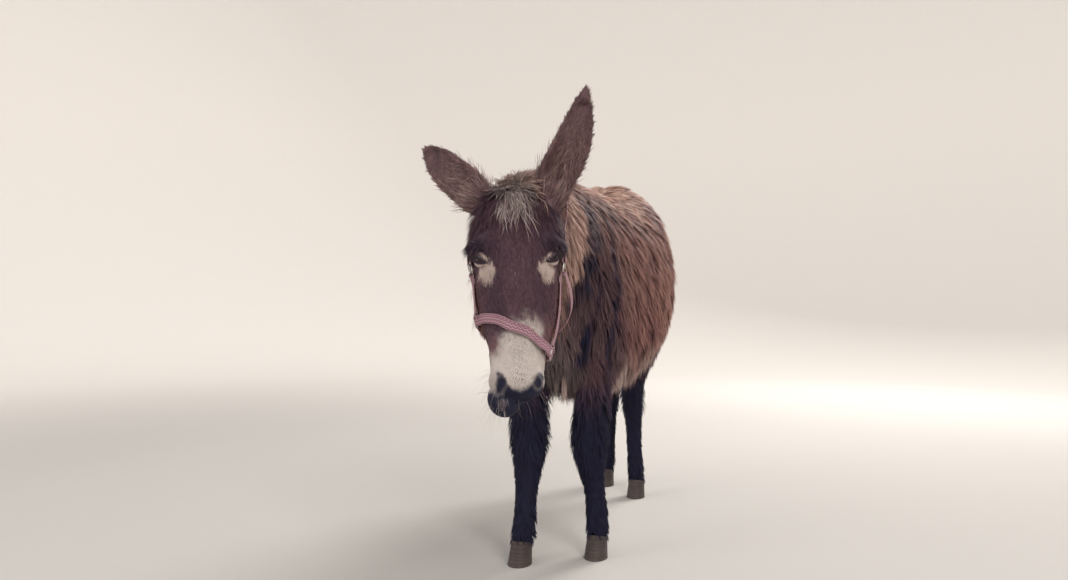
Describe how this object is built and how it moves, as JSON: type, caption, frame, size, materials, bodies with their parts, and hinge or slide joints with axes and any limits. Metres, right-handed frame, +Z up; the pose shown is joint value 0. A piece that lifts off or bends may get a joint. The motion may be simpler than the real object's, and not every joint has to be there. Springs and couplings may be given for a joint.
{
  "type": "donkey",
  "caption": "Life-size standing donkey in a shaggy winter coat, head lowered and turned to its left, one ear up and one sideways, wearing a webbing halter.",
  "frame": {"origin": "middle of the bounding box on the ground", "axes": "the donkey faces -Y, its left side is +X, +Z is up"},
  "size_m": [0.601, 1.8916, 1.3704],
  "materials": {
    "coat": "shaggy brown hair, pale round the eyes and on the muzzle",
    "horn": "dull dark hoof horn",
    "eye": "wet, very dark brown",
    "webbing": "faded mauve-pink woven webbing",
    "steel": "dull worn steel"
  },
  "bodies": {
    "root": {"trunk": "coat", "neck": "coat", "foreleg_left": "coat", "foreleg_right": "coat", "hindleg_left": "coat", "hindleg_right": "coat", "tail": "coat", "head": "coat", "ear_left": "coat", "ear_right": "coat", "forehoof_left": "horn", "forehoof_right": "horn", "hindhoof_left": "horn", "hindhoof_right": "horn", "eye_left": "eye", "eye_right": "eye", "noseband": "webbing", "chin_strap": "webbing", "crownpiece": "webbing", "throat_strap": "webbing", "cheek_strap_left": "webbing", "cheek_strap_right": "webbing", "ring_left": "steel", "ring_right": "steel", "buckle_left": "steel", "buckle_right": "steel"}
  },
  "joints": []
}
